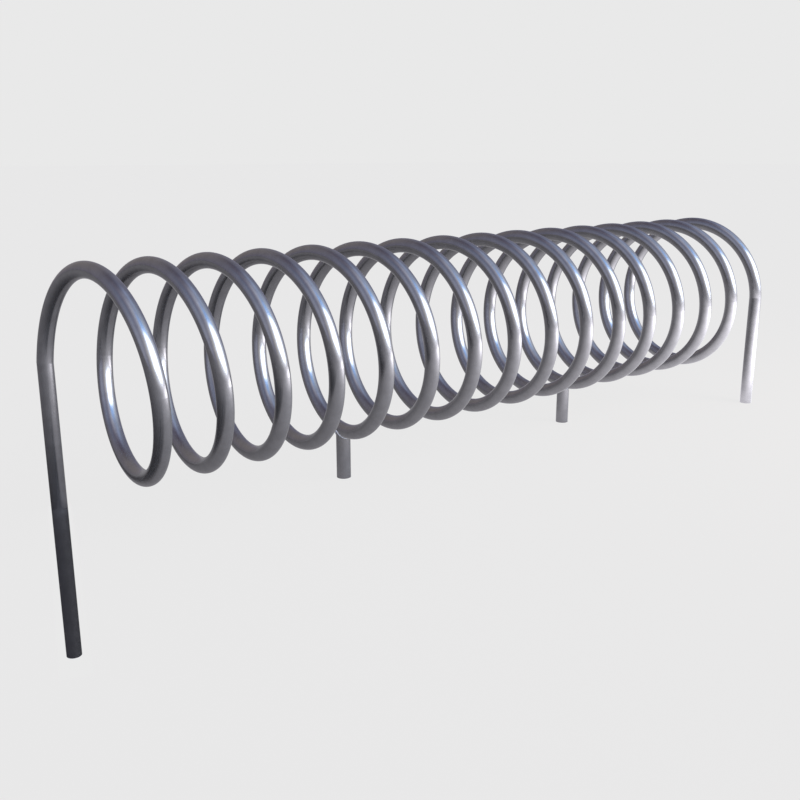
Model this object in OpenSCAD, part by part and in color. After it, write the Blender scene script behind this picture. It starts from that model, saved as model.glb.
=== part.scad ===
// Circular bike rack: one round tube wound into a lying coil, carried over the ground by a leg at
// each end and two short posts under it. Wheels go in between the turns, from either side.
// X runs along the rack, Y across it and Z up. The origin is the middle of the rack at ground level.

/* [Coil] */
// Length of the rack over the outside of its end legs
rack_length = 2000; // [1600:10:2600]
// Outside diameter of the coil
coil_d = 450; // [380:5:600]
// Free height between the ground and the underside of the coil
ground_clearance = 100; // [60:5:200]
// Bends over the top of the coil, one more than under it
upper_count = 16; // [12:1:20]

/* [Tube] */
// Outside diameter of the tube
tube_d = 33.7; // [26.9:0.1:42.4]
// Wall thickness of the tube
tube_wall = 2.6; // [2:0.1:4]

/* [Legs and posts] */
// Length of leg and post that is cast into the ground
anchor_depth = 350; // [200:10:500]
// Lower bend that each post stands under, counted from its end of the coil
post_bend = 5; // [3:1:6]
// Gap between the saddle of a post and the coil, filled by the weld root
root_gap = 0.3; // [0.2:0.1:1]
// Leg length of the weld around the saddle of a post
weld_leg = 2.5; // [1.5:0.5:4]

/* [Backing rings] */
// Length of the ring inside each butt joint
ring_length = 12; // [8:1:16]
// Wall thickness of the ring
ring_wall = 2; // [1:0.5:3]
// Clearance between the ring and the bore of the tube, all round
ring_clearance = 0.4; // [0.3:0.05:0.6]

/* [Hidden] */
lower_count = upper_count - 1;
joint_count = upper_count + lower_count + 1;
turns = (upper_count + lower_count) / 2;

tube_r = tube_d / 2;
bore_r = tube_r - tube_wall;
coil_r = coil_d / 2 - tube_r;
axis_z = ground_clearance + coil_d / 2;
pitch = (rack_length - tube_d) / turns;
coil_start_x = -turns * pitch / 2;

// The coil follows a right-handed helix as a chain of flat quarter-turn arcs. Each arc leans
// towards X, and is as long and as wide as makes it share its end circles with its neighbours.
quarter_turn = 90;
half_turn = 2 * quarter_turn;
half_quarter = quarter_turn / 2;
quarter_rise = pitch / 4;
arc_lean = atan(quarter_rise / (2 * coil_r * sin(half_quarter)));
arc_sweep = 2 * atan(cos(arc_lean) * tan(half_quarter));
arc_r = coil_r * sin(half_quarter) / (sin(arc_sweep / 2) * cos(arc_lean));
arc_centre_z = coil_r * cos(half_quarter) - arc_r * cos(arc_sweep / 2);
// Lean of the tube where two arcs meet
joint_lean = asin(sin(arc_lean) * cos(arc_sweep / 2));

// In each bend the first arc laps over the second, whose skins lie this much inside its own
lap_step = 0.05;
lap_angle = 0.3;

post_x = ((lower_count + 1) / 2 - post_bend) * pitch;
post_top_z = axis_z - coil_r;
// The weld stops this far below the tips of the saddle
weld_stop = 2;

overrun = 10;
steel = [0.66, 0.67, 0.70];
galvanised = [0.56, 0.57, 0.60];
weld_metal = [0.48, 0.48, 0.50];
$fn = 64;
// The collar is thin, so it is drawn rounder than the tubes
weld_fn = 128;

function numbered(name, i) = str(name, i < 10 ? "_0" : "_", i);

// A flat arc of tube over the top of the coil, square across at both ends
module quarter_arc(outer_r, inner_r, lap) {
    translate([0, 0, arc_centre_z])
        rotate([0, 0, half_turn + arc_lean])
            rotate([0, -quarter_turn, 0])
                rotate([0, 0, -arc_sweep / 2])
                    rotate_extrude(angle = arc_sweep + lap)
                        translate([arc_r, 0])
                            difference() {
                                circle(r = outer_r);
                                circle(r = inner_r);
                            }
}

// A bend from the far side of the coil over the top to the near side
module half_turn_bend() {
    union() {
        translate([quarter_rise / 2, 0, 0])
            rotate([-half_quarter, 0, 0])
                quarter_arc(tube_r, bore_r, lap_angle);
        translate([quarter_rise * 3 / 2, 0, 0])
            rotate([half_quarter, 0, 0])
                quarter_arc(tube_r - lap_step, bore_r + lap_step, 0);
    }
}

module upper_bend(i) {
    color(steel)
        translate([coil_start_x + (i - 1) * pitch, 0, axis_z])
            half_turn_bend();
}

module lower_bend(i) {
    color(steel)
        translate([coil_start_x + (i - 1 / 2) * pitch, 0, axis_z])
            rotate([half_turn, 0, 0])
                half_turn_bend();
}

// The leg at the left end, mitred at the height of the coil's axis to meet the first bend
module end_leg() {
    color(steel)
        difference() {
            translate([coil_start_x, coil_r, -anchor_depth])
                difference() {
                    cylinder(r = tube_r, h = anchor_depth + axis_z + tube_d);
                    translate([0, 0, -overrun])
                        cylinder(r = bore_r, h = anchor_depth + axis_z + tube_d + 2 * overrun);
                }
            translate([coil_start_x, coil_r, axis_z])
                rotate([0, joint_lean, 0])
                    translate([-tube_d, -tube_d, 0])
                        cube([2 * tube_d, 2 * tube_d, 2 * tube_d]);
        }
}

module left_leg() {
    end_leg();
}

module right_leg() {
    rotate([0, 0, half_turn])
        end_leg();
}

// The coil where it passes over a post, as a full ring of tube
module coil_over_post(r) {
    translate([-post_x, 0, axis_z])
        rotate([0, 0, -joint_lean])
            rotate([0, quarter_turn, 0])
                rotate_extrude()
                    translate([coil_r, 0])
                        circle(r = r);
}

// The post under the left half of the coil, with its top coped to a saddle
module post() {
    color(galvanised)
        difference() {
            translate([-post_x, 0, -anchor_depth])
                difference() {
                    cylinder(r = tube_r, h = anchor_depth + post_top_z);
                    translate([0, 0, -overrun])
                        cylinder(r = bore_r, h = anchor_depth + post_top_z + 2 * overrun);
                }
            coil_over_post(tube_r + root_gap);
        }
}

module left_post() {
    post();
}

module right_post() {
    rotate([0, 0, half_turn])
        post();
}

// A collar of weld metal in the corner between a post and the coil
module saddle_weld() {
    $fn = weld_fn;
    color(weld_metal)
        difference() {
            difference() {
                intersection() {
                    translate([-post_x, 0, post_top_z - 2 * tube_d])
                        cylinder(r = tube_r + weld_leg, h = 2 * tube_d - weld_stop);
                    coil_over_post(tube_r + weld_leg);
                }
                translate([-post_x, 0, post_top_z - 3 * tube_d])
                    cylinder(r = tube_r, h = 3 * tube_d);
            }
            coil_over_post(tube_r);
        }
}

module post_welds() {
    saddle_weld();
    rotate([0, 0, half_turn])
        saddle_weld();
}

// Joints lie at the height of the coil's axis, by turns on its far and near side. The first and
// last are at the legs, where the ring halves the angle of the mitre.
module backing_rings() {
    for (k = [0:joint_count - 1]) {
        side = k % 2 == 0 ? 1 : -1;
        at_leg = k == 0 || k == joint_count - 1;
        color(weld_metal)
            translate([coil_start_x + k * pitch / 2, side * coil_r, axis_z])
                rotate([0, side * joint_lean / (at_leg ? 2 : 1), 0])
                    translate([0, 0, -ring_length / 2])
                        difference() {
                            cylinder(r = bore_r - ring_clearance, h = ring_length);
                            translate([0, 0, -overrun])
                                cylinder(
                                    r = bore_r - ring_clearance - ring_wall,
                                    h = ring_length + 2 * overrun
                                );
                        }
    }
}

for (i = [1:upper_count])
    upper_bend(i);
for (i = [1:lower_count])
    lower_bend(i);
left_leg();
right_leg();
left_post();
right_post();
backing_rings();
post_welds();
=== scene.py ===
"""Looks of the circular bike rack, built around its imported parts.

One round steel tube is wound into a lying coil. It stands on a leg at each end and on two short
posts under it, all cast into the ground. Every size is in metres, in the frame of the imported
model: X along the rack, Y across it, Z up, with the origin at ground level.
"""

import logging
import math
from abc import ABC, abstractmethod
from collections.abc import Iterator
from dataclasses import dataclass, field
from enum import Enum

import bmesh
import bpy
from mathutils import Matrix, Vector


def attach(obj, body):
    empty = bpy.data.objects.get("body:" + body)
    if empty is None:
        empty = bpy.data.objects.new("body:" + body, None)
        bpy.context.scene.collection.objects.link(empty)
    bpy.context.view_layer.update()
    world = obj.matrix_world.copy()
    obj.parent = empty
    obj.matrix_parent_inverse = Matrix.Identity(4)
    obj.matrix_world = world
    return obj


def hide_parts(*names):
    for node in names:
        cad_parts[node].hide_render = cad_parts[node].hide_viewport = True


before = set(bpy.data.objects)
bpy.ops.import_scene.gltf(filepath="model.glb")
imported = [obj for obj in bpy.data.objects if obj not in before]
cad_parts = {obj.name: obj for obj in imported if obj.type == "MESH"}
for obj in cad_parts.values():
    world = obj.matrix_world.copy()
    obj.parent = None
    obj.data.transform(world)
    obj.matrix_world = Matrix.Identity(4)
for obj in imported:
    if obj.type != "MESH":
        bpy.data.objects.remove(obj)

log = logging.getLogger("bike_rack")

TUBE_COORDS = "tube_coords"
TURN = 2 * math.pi
# Angle between two faces, in radians, above which the edge between them is sharp
SHARP_EDGE = 0.7
# Place of the camera
EYE = (-1.5834, -1.7340, 0.7432)


class Arch(Enum):
    """Half of the coil that a bend belongs to, with the name of its nodes and its first angle."""

    OVER = ("upper_bend", 0.0)
    UNDER = ("lower_bend", math.pi)

    def node(self, number: int) -> str:
        """Name of the numbered bend."""
        return f"{self.value[0]}_{number:02d}"

    def first_angle(self, number: int) -> float:
        """Angle round the coil, in radians, at which the numbered bend starts."""
        return self.value[1] + (number - 1) * TURN


class End(Enum):
    """End of the rack, with the sign of its X."""

    LEFT = -1
    RIGHT = 1

    @property
    def word(self) -> str:
        """The end's name as the nodes spell it."""
        return self.name.lower()


@dataclass(frozen=True)
class RackSizes:
    """Sizes that the sub-assemblies share."""

    length: float = 2.0
    coil_diameter: float = 0.45
    clearance: float = 0.1
    tube_diameter: float = 0.0337
    wall: float = 0.0026
    upper_bends: int = 16
    buried: float = 0.35
    post_bend: int = 5

    @property
    def tube_radius(self) -> float:
        """Outside radius of the tube."""
        return self.tube_diameter / 2

    @property
    def coil_radius(self) -> float:
        """Radius of the coil at the middle of its tube."""
        return (self.coil_diameter - self.tube_diameter) / 2

    @property
    def axis_z(self) -> float:
        """Height of the coil's axis."""
        return self.clearance + self.coil_diameter / 2

    @property
    def turns(self) -> float:
        """Turns of the coil from leg to leg."""
        return self.upper_bends - 0.5

    @property
    def pitch(self) -> float:
        """Advance along the rack for one turn."""
        return (self.length - self.tube_diameter) / self.turns

    @property
    def start_x(self) -> float:
        """X at which the coil starts, in the middle of the left leg."""
        return -self.turns * self.pitch / 2

    @property
    def helix_lean(self) -> float:
        """Angle in radians between the tube and a plane square to the coil's axis."""
        return math.atan(self.pitch / (TURN * self.coil_radius))

    @property
    def post_x(self) -> float:
        """Distance of a post from the middle of the rack."""
        return (self.upper_bends / 2 - self.post_bend) * self.pitch


RACK = RackSizes()


class Formula:
    """A number or vector in a node tree that can be reckoned with as in a formula."""

    def __init__(self, board: "NodeBoard", socket: bpy.types.NodeSocket) -> None:
        """Wraps an output socket of a node on the board."""
        self.board = board
        self.socket = socket

    def __add__(self, other: "Formula | float") -> "Formula":
        """Sum of two numbers."""
        return self.board.math("ADD", self, other)

    __radd__ = __add__

    def __sub__(self, other: "Formula | float") -> "Formula":
        """Difference of two numbers."""
        return self.board.math("SUBTRACT", self, other)

    def __rsub__(self, other: float) -> "Formula":
        """Difference of a plain number and this one."""
        return self.board.math("SUBTRACT", other, self)

    def __mul__(self, other: "Formula | float") -> "Formula":
        """Product of two numbers."""
        return self.board.math("MULTIPLY", self, other)

    __rmul__ = __mul__

    def __truediv__(self, other: "Formula | float") -> "Formula":
        """Quotient of two numbers."""
        return self.board.math("DIVIDE", self, other)

    def __rtruediv__(self, other: float) -> "Formula":
        """Quotient of a plain number and this one."""
        return self.board.math("DIVIDE", other, self)

    def __neg__(self) -> "Formula":
        """The number with its sign turned."""
        return self * -1.0

    def clamped(self) -> "Formula":
        """The number kept between 0 and 1."""
        return self.board.math("MINIMUM", self.board.math("MAXIMUM", self, 0.0), 1.0)

    def below(self, limit: "Formula | float") -> "Formula":
        """1 where the number is below the limit, and 0 elsewhere."""
        return self.board.math("LESS_THAN", self, limit)

    def step(self, low: float, high: float) -> "Formula":
        """A soft rise from 0 at low to 1 at high, or a fall where high is the smaller.

        Args:
            low: Value at which the result is 0.
            high: Value at which the result is 1.

        Returns:
            The rise as a number between 0 and 1.
        """
        node = self.board.node("ShaderNodeMapRange", interpolation_type="SMOOTHSTEP")
        ends = [(low, 0.0), (high, 1.0)]
        if low > high:
            ends.reverse()
        (node.inputs["From Min"].default_value, node.inputs["To Min"].default_value) = ends[0]
        (node.inputs["From Max"].default_value, node.inputs["To Max"].default_value) = ends[1]
        self.board.feed(node.inputs["Value"], self)
        return Formula(self.board, node.outputs["Result"])


# The place of a point of a skin, and its coordinates on the unrolled tube
SkinPoint = tuple[Formula, Formula]


class NodeBoard:
    """A node tree under construction, with short calls for the nodes that it needs."""

    def __init__(self, tree: bpy.types.NodeTree) -> None:
        """Starts on an empty or cleared tree."""
        self.tree = tree

    def node(self, kind: str, **settings: object) -> bpy.types.Node:
        """Adds a node and sets its properties.

        Args:
            kind: Blender's name of the node type.
            settings: Properties of the node.

        Returns:
            The new node.
        """
        made = self.tree.nodes.new(kind)
        for key, value in settings.items():
            setattr(made, key, value)
        return made

    def feed(self, target: bpy.types.NodeSocket, value: object) -> None:
        """Gives an input its value.

        Args:
            target: The input.
            value: A formula, a socket or a plain value.
        """
        if isinstance(value, Formula):
            value = value.socket
        if isinstance(value, bpy.types.NodeSocket):
            self.tree.links.new(value, target)
        else:
            target.default_value = value

    def fed(
        self, kind: str, out: str | int = 0, /, settings: dict | None = None, **inputs: object
    ) -> Formula:
        """Adds a node with its inputs fed by name.

        Args:
            kind: Blender's name of the node type.
            out: Output that is wanted, by name or number.
            settings: Properties of the node.
            inputs: Values of its inputs, with _ for a space in a name.

        Returns:
            The wanted output.
        """
        made = self.node(kind, **(settings or {}))
        for key, value in inputs.items():
            self.feed(made.inputs[key.replace("_", " ")], value)
        return Formula(self, made.outputs[out])

    def math(self, operation: str, *values: "Formula | float") -> Formula:
        """Adds a Math node.

        Args:
            operation: Blender's name of the operation.
            values: The one or two numbers that it works on.

        Returns:
            Its result.
        """
        made = self.node("ShaderNodeMath", operation=operation)
        for target, value in zip(made.inputs, values):
            self.feed(target, value)
        return Formula(self, made.outputs[0])

    def cos(self, angle: Formula) -> Formula:
        """Cosine of an angle in radians."""
        return self.math("COSINE", angle)

    def sin(self, angle: Formula) -> Formula:
        """Sine of an angle in radians."""
        return self.math("SINE", angle)

    def root(self, value: Formula) -> Formula:
        """Square root of a number."""
        return self.math("SQRT", value)

    def vector(self, x: object, y: object, z: object) -> Formula:
        """A vector of three numbers."""
        return self.fed("ShaderNodeCombineXYZ", X=x, Y=y, Z=z)

    def parts(self, vector: Formula) -> tuple[Formula, Formula, Formula]:
        """Takes a vector apart.

        Args:
            vector: The vector.

        Returns:
            Its three numbers.
        """
        made = self.node("ShaderNodeSeparateXYZ")
        self.feed(made.inputs[0], vector)
        x, y, z = (Formula(self, out) for out in made.outputs)
        return x, y, z

    def scaled(self, vector: Formula, by: tuple[float, float, float]) -> Formula:
        """Multiplies each number of a vector by its own factor.

        Args:
            vector: The vector.
            by: The three factors.

        Returns:
            The new vector.
        """
        made = self.node("ShaderNodeVectorMath", operation="MULTIPLY")
        self.feed(made.inputs[0], vector)
        made.inputs[1].default_value = by
        return Formula(self, made.outputs[0])

    def measured(
        self, operation: str, vector: Formula, other: tuple[float, float, float]
    ) -> Formula:
        """Measures a vector against a plain one.

        Args:
            operation: Blender's name of the operation, such as DISTANCE.
            vector: The vector.
            other: The plain vector.

        Returns:
            The number that the operation gives.
        """
        made = self.node("ShaderNodeVectorMath", operation=operation)
        self.feed(made.inputs[0], vector)
        made.inputs[1].default_value = other
        return Formula(self, made.outputs["Value"])

    def added(self, colour: object, share: Formula, more: tuple[float, float, float]) -> Formula:
        """Adds a share of one colour to another.

        Args:
            colour: The colour that is added to.
            share: Share of the other colour.
            more: The other colour.

        Returns:
            The sum.
        """
        made = self.node("ShaderNodeVectorMath", operation="MULTIPLY_ADD")
        for target, value in zip(made.inputs, (more, share, colour)):
            self.feed(target, value)
        return Formula(self, made.outputs[0])

    def blend(self, share: object, a: object, b: object) -> Formula:
        """Blends two colours.

        Args:
            share: Share of the second colour.
            a: The first colour.
            b: The second colour.

        Returns:
            The colour between them.
        """
        made = self.node("ShaderNodeMix", data_type="RGBA")
        sockets = [s for s in made.inputs if s.enabled]
        for target, value in zip(sockets, (share, a, b)):
            self.feed(target, value)
        return Formula(self, next(s for s in made.outputs if s.enabled))

    def noise(
        self, where: Formula, scale: float, detail: float = 2.0, roughness: float = 0.6
    ) -> Formula:
        """Adds a soft noise.

        Args:
            where: Coordinates that it follows.
            scale: Count of its cells to the metre.
            detail: Count of its finer layers.
            roughness: Share of each finer layer in the one before.

        Returns:
            The noise, between 0 and 1.
        """
        return self.fed(
            "ShaderNodeTexNoise", "Fac",
            Vector=where, Scale=scale, Detail=detail, Roughness=roughness,
        )

    def rays(self) -> tuple[Formula, Formula]:
        """Tells where a ray comes from.

        Returns:
            Whether it is the camera's own, and whether a shiny or clear piece sent it on.
        """
        kinds = self.node("ShaderNodeLightPath").outputs
        camera, glossy, through = (
            Formula(self, kinds[f"Is {kind} Ray"]) for kind in ("Camera", "Glossy", "Transmission")
        )
        return camera, (glossy + through).clamped()

    def emboss(
        self, shader: bpy.types.Node, height: Formula, strength: float, depth: float
    ) -> None:
        """Gives a shader a relief.

        Args:
            shader: The shader.
            height: Height of the relief, between 0 and 1.
            strength: Strength of the relief.
            depth: Depth of the relief in metres.
        """
        bump = self.node("ShaderNodeBump")
        bump.inputs["Strength"].default_value = strength
        bump.inputs["Distance"].default_value = depth
        self.feed(bump.inputs["Height"], height)
        self.feed(shader.inputs["Normal"], bump.outputs[0])


class SkinTree(ABC):
    """Geometry Nodes tree for a skin that a formula gives from two counts, round and along."""

    title: str
    sizes: tuple[str, ...]
    seam_distance: float = 1e-6

    def __init__(self) -> None:
        """Builds the tree with its named inputs."""
        tree = bpy.data.node_groups.new(self.title, "GeometryNodeTree")
        self.tree = tree
        self.sockets = {
            name: tree.interface.new_socket(name=name, in_out="INPUT", socket_type=kind).identifier
            for name, kind in [
                *((size, "NodeSocketFloat") for size in self.sizes),
                ("Steps round", "NodeSocketInt"),
                ("Steps along", "NodeSocketInt"),
                ("Finish", "NodeSocketMaterial"),
            ]
        }
        tree.interface.new_socket(name="Skin", in_out="OUTPUT", socket_type="NodeSocketGeometry")
        self.board = NodeBoard(tree)
        entry = self.board.node("NodeGroupInput")
        self.given = {out.name: Formula(self.board, out) for out in entry.outputs if out.name}
        self.finish(self.grid())

    @abstractmethod
    def rows(self) -> Formula:
        """Count of the grid's rows along the skin."""

    @abstractmethod
    def points(self, round_share: Formula, row: Formula) -> SkinPoint:
        """Place of each point of the grid, and its coordinates on the unrolled tube.

        Args:
            round_share: Share of the way round, from 0 to 1.
            row: Number of the point's row, from 0.

        Returns:
            The place, and the coordinates that patterns follow.
        """

    def grid(self) -> Formula:
        """Lays out the skin.

        Returns:
            A flat grid moved to the skin's places, with its seams merged.
        """
        board = self.board
        rows = self.rows()
        flat = board.fed(
            "GeometryNodeMeshGrid", "Mesh", Size_X=1.0, Size_Y=1.0,
            Vertices_X=self.given["Steps round"] + 1.0, Vertices_Y=rows,
        )
        x, y, _ = board.parts(board.fed("GeometryNodeInputPosition"))
        place, coords = self.points(x + 0.5, (y + 0.5) * (rows - 1.0))
        marked = board.fed(
            "GeometryNodeStoreNamedAttribute", "Geometry",
            {"data_type": "FLOAT_VECTOR", "domain": "POINT"},
            Geometry=flat, Name=TUBE_COORDS, Value=coords,
        )
        moved = board.fed("GeometryNodeSetPosition", "Geometry", Geometry=marked, Position=place)
        return board.fed(
            "GeometryNodeMergeByDistance", "Geometry", Geometry=moved, Distance=self.seam_distance
        )

    def finish(self, skin: Formula) -> None:
        """Shades the skin smooth with sharp rims, and gives it its finish.

        Args:
            skin: The skin's mesh.
        """
        board = self.board
        smooth = board.fed(
            "GeometryNodeSetShadeSmooth", "Geometry", {"domain": "FACE"}, Geometry=skin
        )
        bend = board.fed("GeometryNodeInputMeshEdgeAngle", "Unsigned Angle")
        rims = board.fed(
            "GeometryNodeSetShadeSmooth", "Geometry", {"domain": "EDGE"},
            Geometry=smooth, Selection=bend - SHARP_EDGE, Shade_Smooth=False,
        )
        real = board.fed("GeometryNodeRealizeInstances", "Geometry", Geometry=rims)
        dressed = board.fed(
            "GeometryNodeSetMaterial", "Geometry", Geometry=real, Material=self.given["Finish"]
        )
        board.feed(board.node("NodeGroupOutput").inputs["Skin"], dressed)

    def piece(
        self, name: str, finish: bpy.types.Material, round_: int, along: int, **sizes: float
    ) -> bpy.types.Object:
        """Makes one piece with the tree, as a plain mesh.

        Args:
            name: Name of the piece.
            finish: Material of the piece.
            round_: Steps round the skin.
            along: Steps along it.
            sizes: The tree's named sizes, with _ for a space.

        Returns:
            The piece, at the origin with its place in its mesh.
        """
        made = bpy.data.objects.new(name, bpy.data.meshes.new(name))
        bpy.context.scene.collection.objects.link(made)
        modifier = made.modifiers.new("Skin", "NODES")
        modifier.node_group = self.tree
        given = {key.replace("_", " "): value for key, value in sizes.items()}
        given |= {"Steps round": round_, "Steps along": along, "Finish": finish}
        for key, value in given.items():
            modifier[self.sockets[key]] = value
        bpy.context.view_layer.update()
        graph = bpy.context.evaluated_depsgraph_get()
        mesh = bpy.data.meshes.new_from_object(made.evaluated_get(graph))
        made.modifiers.remove(modifier)
        made.data = mesh
        mesh.name = name
        return made


class WalledTube(SkinTree):
    """A tube with a wall: its rows run along the outside and come back along the bore."""

    def rows(self) -> Formula:
        """Rows out and back, with the last on the first."""
        return self.given["Steps along"] * 2.0 + 3.0

    def points(self, round_share: Formula, row: Formula) -> SkinPoint:
        """Places on the outside and the bore, from the tube's own formula.

        Args:
            round_share: Share of the way round, from 0 to 1.
            row: Number of the point's row, out along the outside and back along the bore.

        Returns:
            The place, and the coordinates that patterns follow.
        """
        board, steps = self.board, self.given["Steps along"]
        middle = steps + 0.5
        along = ((middle - board.math("ABSOLUTE", row - middle)) / steps).clamped()
        in_bore = board.math("ABSOLUTE", row - (steps * 1.5 + 1.0)).below(steps * 0.5 + 0.25)
        radius = self.given["Tube radius"] - self.given["Wall"] * in_bore
        angle = round_share * TURN
        return self.wall_point(angle, along, radius)

    @abstractmethod
    def wall_point(self, angle: Formula, along: Formula, radius: Formula) -> SkinPoint:
        """Place of a point of the wall.

        Args:
            angle: Angle round the tube, in radians.
            along: Share of the tube's length, from 0 to 1.
            radius: Distance from the tube's middle line.

        Returns:
            The place, and the coordinates that patterns follow.
        """


class CoilTube(WalledTube):
    """A stretch of the coil, which is a right-handed helix about a line along X."""

    title = "Coil tube"
    sizes = (
        "Coil radius", "Tube radius", "Wall", "Pitch", "Start X", "Axis Z", "First angle", "Sweep",
    )

    def wall_point(self, angle: Formula, along: Formula, radius: Formula) -> SkinPoint:
        """Place on a tube whose cross sections are square to the helix.

        Args:
            angle: Angle round the tube, in radians.
            along: Share of the stretch's length, from 0 to 1.
            radius: Distance from the tube's middle line.

        Returns:
            The place, and the coordinates that patterns follow.
        """
        board, given = self.board, self.given
        coil_r, rise = given["Coil radius"], given["Pitch"] / TURN
        turn = given["First angle"] + along * given["Sweep"]
        slant = board.root(coil_r * coil_r + rise * rise)
        outward, sideways = radius * board.cos(angle), radius * board.sin(angle)
        reach = coil_r + outward
        tilt = sideways * rise / slant
        cos_turn, sin_turn = board.cos(turn), board.sin(turn)
        x = given["Start X"] + rise * turn - sideways * coil_r / slant
        y = reach * cos_turn - tilt * sin_turn
        z = given["Axis Z"] + reach * sin_turn + tilt * cos_turn
        return board.vector(x, y, z), board.vector(outward, sideways, turn * slant)


class MitredLeg(WalledTube):
    """An upright tube whose top is cut to meet the end of the coil."""

    title = "Mitred leg"
    sizes = ("Centre X", "Centre Y", "Tube radius", "Wall", "Bottom", "Top", "Mitre lean")

    def wall_point(self, angle: Formula, along: Formula, radius: Formula) -> SkinPoint:
        """Place on an upright tube, the last row of which is the round end of the coil.

        Args:
            angle: Angle round the tube, in radians.
            along: Share of the leg's length, from 0 to 1.
            radius: Distance from the tube's middle line.

        Returns:
            The place, and the coordinates that patterns follow.
        """
        board, given = self.board, self.given
        across, back = radius * board.cos(angle), radius * board.sin(angle)
        lean, steps = given["Mitre lean"], given["Steps along"]
        at_top = (along * steps - (steps - 1.0)).clamped()
        narrowed = across * (1.0 - (1.0 - board.cos(lean)) * at_top)
        top = given["Top"] - board.sin(lean) * across
        z = given["Bottom"] + (top - given["Bottom"]) * along
        place = board.vector(given["Centre X"] + narrowed, given["Centre Y"] + back, z)
        return place, board.vector(across, back, z)


def saddle_height(
    board: NodeBoard, across: Formula, back: Formula, given: dict[str, Formula]
) -> Formula:
    """Height of the underside of the coil over a point beside a post's middle.

    Args:
        board: Board that the formula stands on.
        across: Distance from the post's middle along X.
        back: Distance from the post's middle along Y.
        given: The tree's inputs, among them the coil's radius, lean and axis height and the gap.

    Returns:
        The height, where the coil over the post is a ring that leans with the helix.
    """
    lean = given["Coil lean"]
    run = across * board.sin(lean) + back * board.cos(lean)
    aside = across * board.cos(lean) - back * board.sin(lean)
    thick = given["Coil tube radius"] + given["Gap"]
    drop = board.root(board.math("MAXIMUM", thick * thick - aside * aside, 0.0))
    reach = given["Coil radius"] + drop
    return given["Axis Z"] - board.root(reach * reach - run * run)


class CopedPost(WalledTube):
    """A short upright tube whose top is coped to a saddle for the coil."""

    title = "Coped post"
    sizes = (
        "Centre X", "Tube radius", "Wall", "Bottom",
        "Coil radius", "Coil tube radius", "Coil lean", "Axis Z", "Gap",
    )

    def wall_point(self, angle: Formula, along: Formula, radius: Formula) -> SkinPoint:
        """Place on an upright tube, the last row of which lies on the saddle.

        Args:
            angle: Angle round the tube, in radians.
            along: Share of the post's length, from 0 to 1.
            radius: Distance from the tube's middle line.

        Returns:
            The place, and the coordinates that patterns follow.
        """
        board, given = self.board, self.given
        across, back = radius * board.cos(angle), radius * board.sin(angle)
        top = saddle_height(board, across, back, given)
        z = given["Bottom"] + (top - given["Bottom"]) * along
        place = board.vector(given["Centre X"] + across, back, z)
        return place, board.vector(across, back, z)


class SaddleBead(SkinTree):
    """A weld bead that follows the rim of a post's saddle, rippled as it was laid."""

    title = "Saddle bead"
    sizes = (
        "Centre X", "Post radius", "Bead radius", "Ripples", "Ripple depth",
        "Coil radius", "Coil tube radius", "Coil lean", "Axis Z", "Gap",
    )
    ripple_lag: float = 0.9
    root_drop: float = 0.0006

    def rows(self) -> Formula:
        """Rows round the post, with the last on the first."""
        return self.given["Steps along"] + 1.0

    def points(self, round_share: Formula, row: Formula) -> SkinPoint:
        """Places on a thin round skin about the rim of the saddle.

        Args:
            round_share: Share of the way round the bead, from 0 to 1.
            row: Number of the point's row, counted round the post.

        Returns:
            The place, and the coordinates that patterns follow.
        """
        board, given = self.board, self.given
        way = row / self.given["Steps along"] * -TURN
        section = round_share * TURN
        rim_x, rim_y = board.cos(way), board.sin(way)
        across, back = given["Post radius"] * rim_x, given["Post radius"] * rim_y
        rim_z = saddle_height(board, across, back, given)
        lag = board.cos(section) * self.ripple_lag
        ripple = board.cos(way * given["Ripples"] + lag)
        thick = given["Bead radius"] * (1.0 + ripple * given["Ripple depth"])
        out, up = thick * board.cos(section), thick * board.sin(section)
        place = board.vector(
            given["Centre X"] + across + out * rim_x, back + out * rim_y,
            rim_z - self.root_drop + up,
        )
        return place, board.vector(out, up, way * given["Post radius"])


def blank_metal(name: str) -> tuple[bpy.types.Material, NodeBoard, bpy.types.Node]:
    """A new node material.

    Args:
        name: Name of the material.

    Returns:
        The material, the board on its node tree, and its shader.
    """
    material = bpy.data.materials.new(name)
    material.use_nodes = True
    return material, NodeBoard(material.node_tree), material.node_tree.nodes["Principled BSDF"]


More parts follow.
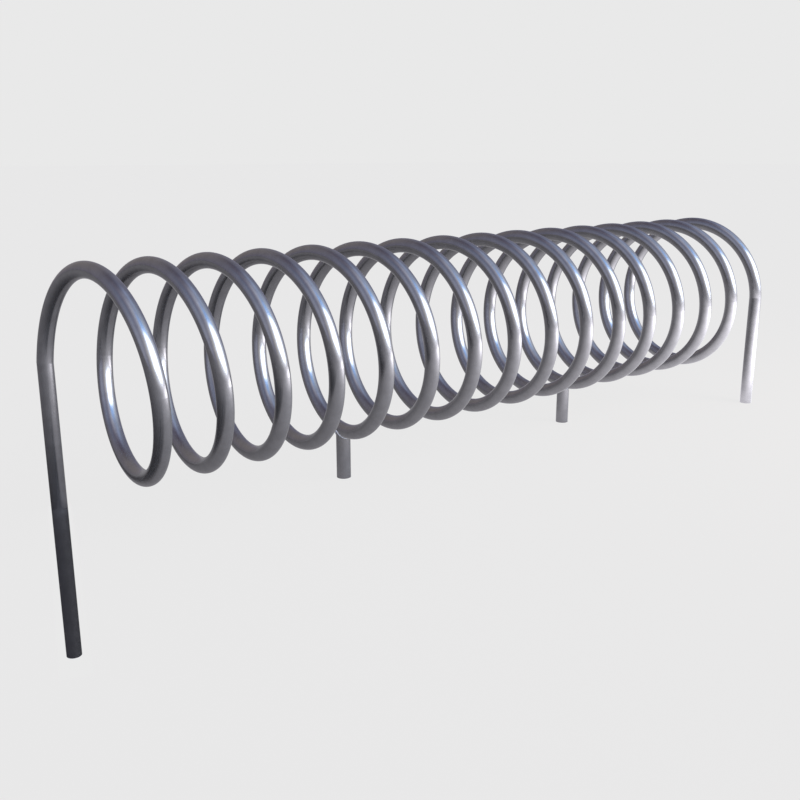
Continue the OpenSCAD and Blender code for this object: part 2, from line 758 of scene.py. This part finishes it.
@dataclass(frozen=True)
class GalvanisedSteel:
    """Smooth bright zinc on drawn steel tube, with its spangle, draw lines and ground welds."""

    name: str = "galvanised_tube"
    light: tuple[float, float, float] = (0.280, 0.277, 0.283)
    dark: tuple[float, float, float] = (0.244, 0.241, 0.247)
    metallic: float = 0.9
    edge_tint: float = 0.85
    roughness: float = 0.16
    cloud_scale: float = 46.0
    cloud_detail: float = 4.0
    cloud_roughness: float = 0.55
    cloud_share: float = 0.75
    cloud_dulling: float = 0.06
    line_scale: float = 620.0
    line_stretch: float = 0.02
    line_dulling: float = 0.03
    grain_scale: float = 2600.0
    mottle_span: tuple[float, float] = (0.34, 0.66)
    seam_z: float = RACK.axis_z
    seam_half: float = 0.0035
    seam_dulling: float = 0.02
    line_relief: float = 0.5
    grain_relief: float = 0.3
    cloud_relief: float = 0.6
    bump_strength: float = 0.05
    bump_depth: float = 0.0002

    def build(self) -> bpy.types.Material:
        """Makes the material.

        Returns:
            The material, which reads object coordinates and the tube's own coordinates.
        """
        material, board, shader = blank_metal(self.name)
        where = board.fed("ShaderNodeTexCoord", "Object")
        tube = board.fed("ShaderNodeAttribute", "Vector", {"attribute_name": TUBE_COORDS})
        cloud = board.noise(where, self.cloud_scale, self.cloud_detail, self.cloud_roughness)
        drawn = board.noise(board.scaled(tube, (1.0, 1.0, self.line_stretch)), self.line_scale)
        grain = board.noise(where, self.grain_scale)
        height = board.math("ABSOLUTE", board.parts(where)[2] - self.seam_z)
        seam = height.step(self.seam_half, self.seam_half * 0.5)
        mottle = cloud * self.cloud_share + drawn * (1.0 - self.cloud_share)
        colour = board.blend(mottle.step(*self.mottle_span), (*self.dark, 1), (*self.light, 1))
        board.feed(shader.inputs["Base Color"], colour)
        dull = self.roughness + (cloud - 0.5) * self.cloud_dulling
        dull = dull + (drawn - 0.5) * self.line_dulling + seam * self.seam_dulling
        board.feed(shader.inputs["Roughness"], dull.clamped())
        relief = drawn * self.line_relief + grain * self.grain_relief + cloud * self.cloud_relief
        board.emboss(shader, relief, self.bump_strength, self.bump_depth)
        shader.inputs["Metallic"].default_value = self.metallic
        shader.inputs["Specular Tint"].default_value = (self.edge_tint,) * 3 + (1.0,)
        return material


@dataclass(frozen=True)
class WeldMetal:
    """Zinc over a weld bead, duller than the tube and slightly stained."""

    name: str = "weld_zinc"
    light: tuple[float, float, float] = (0.27, 0.27, 0.28)
    dark: tuple[float, float, float] = (0.17, 0.168, 0.17)
    metallic: float = 1.0
    roughness: float = 0.34
    stain_scale: float = 240.0
    stain_detail: float = 3.0
    stain_span: tuple[float, float] = (0.35, 0.65)
    stain_dulling: float = 0.2
    grain_scale: float = 1900.0
    bump_strength: float = 0.25
    bump_depth: float = 0.0003

    def build(self) -> bpy.types.Material:
        """Makes the material.

        Returns:
            The material, which reads object coordinates.
        """
        material, board, shader = blank_metal(self.name)
        where = board.fed("ShaderNodeTexCoord", "Object")
        stain = board.noise(where, self.stain_scale, self.stain_detail)
        colour = board.blend(stain.step(*self.stain_span), (*self.dark, 1), (*self.light, 1))
        board.feed(shader.inputs["Base Color"], colour)
        board.feed(shader.inputs["Roughness"], self.roughness + (stain - 0.5) * self.stain_dulling)
        grain = board.noise(where, self.grain_scale)
        board.emboss(shader, grain, self.bump_strength, self.bump_depth)
        shader.inputs["Metallic"].default_value = self.metallic
        return material


def seat(piece: bpy.types.Object, slot: str, *nodes: str) -> bpy.types.Object:
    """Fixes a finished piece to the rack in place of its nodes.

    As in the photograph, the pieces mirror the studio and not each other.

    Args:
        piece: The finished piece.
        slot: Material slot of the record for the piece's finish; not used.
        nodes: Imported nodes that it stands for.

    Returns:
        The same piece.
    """
    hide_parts(*nodes)
    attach(piece, "root")
    piece.visible_glossy = False
    log.info("%s: %d faces in place of %s", piece.name, len(piece.data.polygons), ", ".join(nodes))
    return piece


def ease_rims(piece: bpy.types.Object, width: float, below: float) -> None:
    """Breaks the sharp rims of a cut tube's lower end with a narrow chamfer.

    Args:
        piece: Piece whose rims are eased.
        width: Width of the chamfer.
        below: Height under which the rims are eased.
    """
    made = bmesh.new()
    made.from_mesh(piece.data)
    rims = [
        edge for edge in made.edges
        if edge.verts[0].co.z < below
        and len(edge.link_faces) == 2
        and edge.calc_face_angle() > SHARP_EDGE
    ]
    bmesh.ops.bevel(made, geom=rims, offset=width, segments=2, profile=0.5, affect="EDGES")
    made.to_mesh(piece.data)
    made.free()
    piece.data.update()


@dataclass
class Coil:
    """The coil: half-turn bends of tube, by turns over and under the axis."""

    rack: RackSizes
    steel: bpy.types.Material
    steps_round: int = 56
    steps_along: int = 72
    lap: float = 0.0002

    def bends(self) -> Iterator[tuple[Arch, int]]:
        """Goes through the bends of the coil.

        Yields:
            The half and the number of each.
        """
        for number in range(1, self.rack.upper_bends + 1):
            yield Arch.OVER, number
        for number in range(1, self.rack.upper_bends):
            yield Arch.UNDER, number

    def build(self) -> list[bpy.types.Object]:
        """Makes a piece for each bend.

        Returns:
            The pieces.
        """
        rack, tree = self.rack, CoilTube()
        return [
            seat(
                tree.piece(
                    f"{arch.node(number)}_tube", self.steel, self.steps_round, self.steps_along,
                    Coil_radius=rack.coil_radius, Tube_radius=rack.tube_radius, Wall=rack.wall,
                    Pitch=rack.pitch, Start_X=rack.start_x, Axis_Z=rack.axis_z,
                    First_angle=arch.first_angle(number) - self.lap, Sweep=math.pi + 2 * self.lap,
                ),
                "tube_steel", arch.node(number),
            )
            for arch, number in self.bends()
        ]


@dataclass
class EndLegs:
    """The two legs, each mitred to its end of the coil and cut square at its buried end."""

    rack: RackSizes
    steel: bpy.types.Material
    steps_round: int = 56
    steps_along: int = 24
    rim: float = 0.0004

    def build(self) -> list[bpy.types.Object]:
        """Makes both legs.

        Returns:
            The pieces.
        """
        rack, tree, made = self.rack, MitredLeg(), []
        for end in End:
            leg = tree.piece(
                f"{end.word}_leg_tube", self.steel, self.steps_round, self.steps_along,
                Centre_X=end.value * -rack.start_x, Centre_Y=-end.value * rack.coil_radius,
                Tube_radius=rack.tube_radius, Wall=rack.wall, Bottom=-rack.buried,
                Top=rack.axis_z, Mitre_lean=rack.helix_lean,
            )
            ease_rims(leg, self.rim, 0.0)
            made.append(seat(leg, "tube_steel", f"{end.word}_leg"))
        return made


@dataclass
class Posts:
    """The two posts under the coil and the weld bead round the saddle of each."""

    rack: RackSizes
    steel: bpy.types.Material
    weld: bpy.types.Material
    steps_round: int = 56
    steps_along: int = 16
    rim: float = 0.0003
    gap: float = 0.0003
    bead_steps_round: int = 14
    bead_steps_along: int = 408
    bead_radius: float = 0.0019
    ripples: float = 34.0
    ripple_depth: float = 0.10

    def build(self) -> list[bpy.types.Object]:
        """Makes both posts, and their beads as one piece.

        Returns:
            The pieces.
        """
        rack, tree, bead_tree = self.rack, CopedPost(), SaddleBead()
        made, beads = [], []
        saddle = {
            "Coil_radius": rack.coil_radius, "Coil_tube_radius": rack.tube_radius,
            "Coil_lean": rack.helix_lean, "Axis_Z": rack.axis_z,
        }
        for end in End:
            post = tree.piece(
                f"{end.word}_post_tube", self.steel, self.steps_round, self.steps_along,
                Centre_X=end.value * rack.post_x, Tube_radius=rack.tube_radius, Wall=rack.wall,
                Bottom=-rack.buried, Gap=self.gap, **saddle,
            )
            made.append(seat(post, "tube_steel", f"{end.word}_post"))
            beads.append(
                bead_tree.piece(
                    f"{end.word}_saddle_bead", self.weld,
                    self.bead_steps_round, self.bead_steps_along,
                    Centre_X=end.value * rack.post_x, Post_radius=rack.tube_radius, Gap=0.0,
                    Bead_radius=self.bead_radius, Ripples=self.ripples,
                    Ripple_depth=self.ripple_depth, **saddle,
                )
            )
        made.append(seat(self.joined(beads, "saddle_beads"), "weld_metal", "post_welds"))
        return made

    @staticmethod
    def joined(pieces: list[bpy.types.Object], name: str) -> bpy.types.Object:
        """One piece with the meshes of several, which are removed.

        Args:
            pieces: Pieces at the origin that share one material.
            name: Name of the new piece.

        Returns:
            The new piece.
        """
        both = bmesh.new()
        for piece in pieces:
            both.from_mesh(piece.data)
        mesh = bpy.data.meshes.new(name)
        both.to_mesh(mesh)
        both.free()
        mesh.materials.append(pieces[0].data.materials[0])
        for piece in pieces:
            bpy.data.objects.remove(piece)
        made = bpy.data.objects.new(name, mesh)
        bpy.context.scene.collection.objects.link(made)
        return made


@dataclass
class BackingRings:
    """The rings inside the butt joints, kept as packed and given their metal."""

    weld: bpy.types.Material

    def dress(self) -> None:
        """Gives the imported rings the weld's metal."""
        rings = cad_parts["backing_rings"]
        rings.data.materials.clear()
        rings.data.materials.append(self.weld)
        log.info("backing_rings: kept as packed, inside the joints")


@dataclass(frozen=True)
class KeyLamp:
    """Soft square lamp before the rack's right end, hidden from the camera and reflections."""

    place: tuple[float, float, float] = (1.45, -1.35, 1.05)
    aim: tuple[float, float, float] = (0.7, 0.0, 0.1)
    size: float = 0.9
    watts: float = 30.0

    def build(self) -> bpy.types.Object:
        """Makes the lamp and turns it to the rack.

        Returns:
            The lamp.
        """
        data = bpy.data.lights.new("key_lamp", "AREA")
        data.shape, data.size, data.energy = "SQUARE", self.size, self.watts
        lamp = bpy.data.objects.new("key_lamp", data)
        lamp.location = self.place
        way = Vector(self.aim) - Vector(self.place)
        lamp.rotation_euler = way.to_track_quat("-Z", "Y").to_euler()
        lamp.visible_camera = lamp.visible_glossy = False
        bpy.context.scene.collection.objects.link(lamp)
        return lamp


@dataclass(frozen=True)
class Glow:
    """Soft round glow in the studio, or a dimmer patch where its colour is below zero.

    Its side, counted from +Y towards +X, and its height are in degrees.
    """

    side: float
    height: float
    focus: float
    colour: tuple[float, float, float]

    def way(self) -> tuple[float, float, float]:
        """Finds the middle of the glow.

        Returns:
            The unit vector to it.
        """
        side, height = math.radians(self.side), math.radians(self.height)
        level = math.cos(height)
        return level * math.sin(side), level * math.cos(side), math.sin(height)


@dataclass(frozen=True)
class StudioLight:
    """Soft studio light: one tall wide window of light in a room with a few soft glows.

    The camera sees it plain and pale. Reflections see the window at its full brightness, and dark
    earth below the horizon.
    """

    pale: float = 0.8148
    room: tuple[float, float, float] = (0.02, 0.05, 0.35)
    below: tuple[float, float, float] = (0.10, 0.10, 0.11)
    glows: tuple[Glow, ...] = (
        Glow(210.0, 66.0, 15.0, (0.70, 0.77, 0.87)),
        Glow(143.0, 7.0, 3.8, (3.50, 3.62, 3.50)),
        Glow(205.0, 20.5, 12.0, (1.00, 0.97, 0.81)),
        Glow(92.0, 70.0, 30.0, (0.35, 0.43, 0.63)),
        Glow(263.0, 9.0, 7.0, (0.69, 0.70, 0.67)),
        Glow(-6.0, 25.0, 1.55, (0.42, 0.35, 0.05)),
        Glow(275.0, 33.0, 14.0, (-0.07, 0.0, 0.08)),
        Glow(250.0, 62.0, 9.0, (0.05, 0.0, -0.07)),
        Glow(112.0, 52.0, 12.0, (-0.10, 0.01, 0.12)),
        Glow(215.0, 2.0, 10.0, (0.08, 0.03, -0.14)),
        Glow(-8.0, 71.0, 14.0, (-0.15, -0.16, -0.18)),
    )
    window: float = 1.4
    mirrored_window: float = 5.0
    window_centre: float = 158.0
    window_half: float = 31.0
    window_soft: float = 20.0
    window_low: float = 4.5
    window_low_soft: float = 3.0
    window_low_tilt: float = 0.2
    window_high: float = 47.4
    window_high_soft: float = 4.0
    window_peak: float = 176.8
    window_fall: float = 0.0056
    rim: tuple[float, float, float] = (-0.3, 0.38, 1.6)
    rim_width: float = 30.0
    horizon: tuple[float, float] = (0.0, -1.0)

    def build(self) -> None:
        """Makes the world, which is plain and pale for the camera."""
        world = bpy.data.worlds.new("studio")
        world.use_nodes = True
        world.node_tree.nodes.clear()
        bpy.context.scene.world = world
        board = NodeBoard(world.node_tree)
        way = board.fed("ShaderNodeTexCoord", "Generated")
        x, y, z = board.parts(way)
        colour: object = self.room
        for glow in self.glows:
            middle = board.measured("DOT_PRODUCT", way, glow.way())
            share = board.math("EXPONENT", (middle - 1.0) * glow.focus)
            colour = board.added(colour, share, glow.colour)
        height = board.math("ARCSINE", z) * math.degrees(1.0)
        side = self.swing(board, x, y, self.window_centre)
        aside = board.math("ABSOLUTE", side)
        off_peak = self.swing(board, x, y, self.window_peak)
        top = self.window_high - off_peak * off_peak * self.window_fall
        near = aside.step(self.window_half + self.window_soft, self.window_half - self.window_soft)
        over_sill = height - side * self.window_low_tilt - self.window_low
        near = near * over_sill.step(-self.window_low_soft, self.window_low_soft)
        over_top = height - top
        lit = near * over_top.step(self.window_high_soft, -self.window_high_soft)
        colour = board.added(colour, near * over_top.step(self.rim_width, 0.0), self.rim)
        camera, mirrored = board.rays()
        power = self.window + mirrored * (self.mirrored_window - self.window)
        colour = board.added(colour, lit * power, (1.0, 1.0, 1.0))
        buried = mirrored * height.step(*self.horizon)
        colour = board.blend(buried, colour, (*self.below, 1))
        seen = board.blend(camera, colour, (self.pale,) * 3 + (1,))
        surface = board.fed("ShaderNodeBackground", Color=seen)
        board.feed(board.node("ShaderNodeOutputWorld").inputs["Surface"], surface)

    @staticmethod
    def swing(board: NodeBoard, x: Formula, y: Formula, centre: float) -> Formula:
        """Degrees that a direction lies to the side of a compass direction.

        Args:
            board: Board that the formula stands on.
            x: The direction's share along X.
            y: Its share along Y.
            centre: Compass direction in degrees, from +Y towards +X.

        Returns:
            The angle, from -180 to 180.
        """
        turn = math.radians(centre)
        ahead = x * math.sin(turn) + y * math.cos(turn)
        aside = x * math.cos(turn) - y * math.sin(turn)
        return board.math("ARCTAN2", aside, ahead) * math.degrees(1.0)


@dataclass(frozen=True)
class Ground:
    """Plain pale floor, with a narrow opening in front of the left leg that shows its buried end.

    The camera sees it even but for a faint shadow. Reflections see light and shade painted on it:
    a painted pool of light, painted shadows of the rack and of the left leg, and a painted bright
    far side.
    """

    rack: RackSizes
    even: float = 0.782
    shade: tuple[float, float, float] = (0.030, 0.0243, 0.0203)
    paint_level: float = 0.35
    # Painted light and shade that only reflections see on the floor: a painted glow, a painted
    # pool of light, painted shadows of the rack and of the left leg, and a painted bright far side
    mirrored_glow: float = 0.264
    pool_glow: float = 11.8
    pool_place: tuple[float, float, float] = (1.62, -0.72, 0.0)
    pool_reach: float = 1.347
    pool_edge: float = 1.851
    rack_shadow: float = 0.903
    rack_shadow_y: float = 0.519
    rack_shadow_width: float = 1.514
    leg_shadow: float = 0.88
    leg_shadow_place: tuple[float, float] = (-0.958, 0.114)
    leg_shadow_spread: tuple[float, float] = (0.70, 0.80)
    leg_shadow_soft: float = 0.08
    far_glow: float = 2.1
    far_focus: float = 2.2
    far_side: float = 138.0
    far_from: tuple[float, float] = (2.2, 4.5)
    mirrored_tint: tuple[float, float, float] = (0.98, 0.965, 1.025)
    reach: float = 60.0
    opening_back: float = 0.03
    opening_front: float = 0.72
    opening_half: float = 0.024

    def opening(self) -> list[Vector]:
        """Lays the opening along the line of sight to the leg.

        Returns:
            Its four corners.
        """
        leg = Vector((self.rack.start_x, self.rack.coil_radius, 0.0))
        sight = (Vector((*EYE[:2], 0.0)) - leg).normalized()
        aside = Vector((-sight.y, sight.x, 0.0)) * self.opening_half
        back, front = leg - sight * self.opening_back, leg + sight * self.opening_front
        return [back - aside, back + aside, front + aside, front - aside]

    def build(self) -> bpy.types.Object:
        """Makes the floor.

        Returns:
            The floor.
        """
        mesh = bmesh.new()
        outer = [
            mesh.verts.new((sx * self.reach, sy * self.reach, 0.0))
            for sx, sy in ((1, 1), (-1, 1), (-1, -1), (1, -1))
        ]
        inner = [mesh.verts.new(corner) for corner in self.opening()]
        edges = [
            mesh.edges.new(pair)
            for ring in (outer, inner)
            for pair in zip(ring, ring[1:] + ring[:1])
        ]
        bmesh.ops.triangle_fill(mesh, use_beauty=True, edges=edges, normal=(0, 0, 1))
        data = bpy.data.meshes.new("floor")
        mesh.to_mesh(data)
        mesh.free()
        data.materials.append(self.paint())
        floor = bpy.data.objects.new("floor", data)
        bpy.context.scene.collection.objects.link(floor)
        return floor

    def paint(self) -> bpy.types.Material:
        """Pale paint, even to the camera, with light and shade painted on it by the formula in
        reflections.

        Returns:
            The floor's material.
        """
        material = bpy.data.materials.new("pale_floor")
        material.use_nodes = True
        material.node_tree.nodes.clear()
        board = NodeBoard(material.node_tree)
        camera, mirrored = board.rays()
        where = board.fed("ShaderNodeTexCoord", "Object")
        lit = self.mirrored_light(board, where)
        glow = board.fed(
            "ShaderNodeEmission",
            Color=board.blend(mirrored, (1, 1, 1, 1), (*self.mirrored_tint, 1)),
            Strength=camera * self.even + mirrored * lit,
        )
        paint = board.blend(
            board.math("MAXIMUM", camera, mirrored),
            (self.paint_level,) * 3 + (1,), (*self.shade, 1),
        )
        matt = board.fed("ShaderNodeBsdfDiffuse", Color=paint)
        both = board.node("ShaderNodeAddShader")
        board.feed(both.inputs[0], glow)
        board.feed(both.inputs[1], matt)
        board.feed(board.node("ShaderNodeOutputMaterial").inputs["Surface"], both.outputs[0])
        return material

    def mirrored_light(self, board: NodeBoard, where: Formula) -> Formula:
        """Painted light and shade that reflections find at a place on the floor.

        Args:
            board: Board that the formula stands on.
            where: The place.

        Returns:
            The painted pool of light and painted glow less the two painted shadows, and the
            painted bright far side.
        """
        # Painted pool of light, painted shadows of the rack and of the left leg, and a painted
        # bright far side, as emission seen only in reflections
        away = board.measured("DISTANCE", where, self.pool_place)
        fall = 1.0 + away * away / self.pool_reach**2
        pool = self.pool_glow / board.math("POWER", fall, self.pool_edge)
        x, y, _ = board.parts(where)
        behind = (y - self.rack_shadow_y) / self.rack_shadow_width
        lit = pool * (1.0 - board.math("EXPONENT", -(behind * behind)) * self.rack_shadow)
        along = (x - self.leg_shadow_place[0]) / self.leg_shadow_spread[0]
        across = (y - self.leg_shadow_place[1]) / self.leg_shadow_spread[1]
        edge = along.step(self.leg_shadow_soft, -self.leg_shadow_soft)
        beside = board.math("EXPONENT", -(along * along + across * across)) * edge
        lit = (lit + self.mirrored_glow) * (1.0 - beside * self.leg_shadow)
        side = math.radians(self.far_side)
        distance = board.math("MAXIMUM", board.root(x * x + y * y), self.far_from[0])
        toward = (x * math.sin(side) + y * math.cos(side)) / distance
        beyond = board.math("EXPONENT", (toward - 1.0) * self.far_focus)
        return lit + beyond * distance.step(*self.far_from) * self.far_glow


@dataclass(frozen=True)
class Viewpoint:
    """The camera at the photograph's angle."""

    place: tuple[float, float, float] = EYE
    forward: tuple[float, float, float] = (0.60032, 0.75805, -0.25491)
    up: tuple[float, float, float] = (0.15928, 0.19902, 0.96697)
    focal_pixels: float = 936.07
    image_pixels: float = 800.0
    sensor: float = 36.0
    nearest: float = 0.05
    farthest: float = 300.0

    def build(self) -> bpy.types.Object:
        """Makes the camera and gives it to the scene.

        Returns:
            The camera.
        """
        data = bpy.data.cameras.new("camera")
        data.sensor_width = self.sensor
        data.lens = self.focal_pixels / self.image_pixels * self.sensor
        data.clip_start, data.clip_end = self.nearest, self.farthest
        camera = bpy.data.objects.new("camera", data)
        bpy.context.scene.collection.objects.link(camera)
        ahead = Vector(self.forward).normalized()
        right = ahead.cross(Vector(self.up)).normalized()
        turn = Matrix((right, right.cross(ahead), -ahead)).transposed().to_4x4()
        camera.matrix_world = Matrix.Translation(self.place) @ turn
        bpy.context.scene.camera = camera
        return camera


@dataclass
class BikeRack:
    """The whole rack."""

    rack: RackSizes = field(default_factory=RackSizes)

    def build(self) -> None:
        """Builds and dresses every sub-assembly in order."""
        steel, weld = GalvanisedSteel().build(), WeldMetal().build()
        bends = Coil(self.rack, steel).build()
        legs = EndLegs(self.rack, steel).build()
        posts = Posts(self.rack, steel, weld).build()
        BackingRings(weld).dress()
        log.info("%d bends, %d legs, %d pieces at the posts", len(bends), len(legs), len(posts))


def main() -> None:
    """Builds the rack, the studio and the camera."""
    logging.basicConfig(level=logging.INFO, format="%(name)s: %(message)s")
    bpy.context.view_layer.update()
    Viewpoint().build()
    BikeRack().build()
    Ground(RACK).build()
    KeyLamp().build()
    StudioLight().build()
    bpy.context.scene.view_settings.view_transform = "Standard"


if __name__ == "__main__":
    main()
